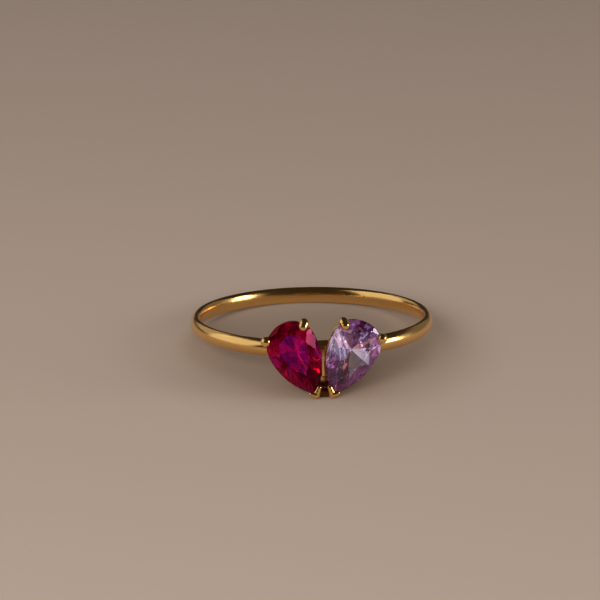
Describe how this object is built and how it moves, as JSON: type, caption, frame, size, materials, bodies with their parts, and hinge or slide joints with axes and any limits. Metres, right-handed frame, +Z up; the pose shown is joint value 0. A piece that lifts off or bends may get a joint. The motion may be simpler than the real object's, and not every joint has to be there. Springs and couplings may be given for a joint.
{
  "type": "toi et moi ring",
  "caption": "Thin gold ring with two pear-cut stones, one deep pink-red and one pale purple, set side by side as a heart in claw baskets. It lies on its side.",
  "frame": {"origin": "on the surface that the ring lies on, under the middle of its outline", "axes": "+Z up from that surface, -Y to the stones in front, +X to the lilac stone's side"},
  "size_m": [0.019, 0.0212, 0.0062],
  "materials": {
    "gold": "polished",
    "ruby": "polished facets",
    "lilac": "polished facets"
  },
  "bodies": {
    "root": {"gold_ring": "gold", "ruby_stone": "ruby", "lilac_stone": "lilac"}
  },
  "joints": []
}
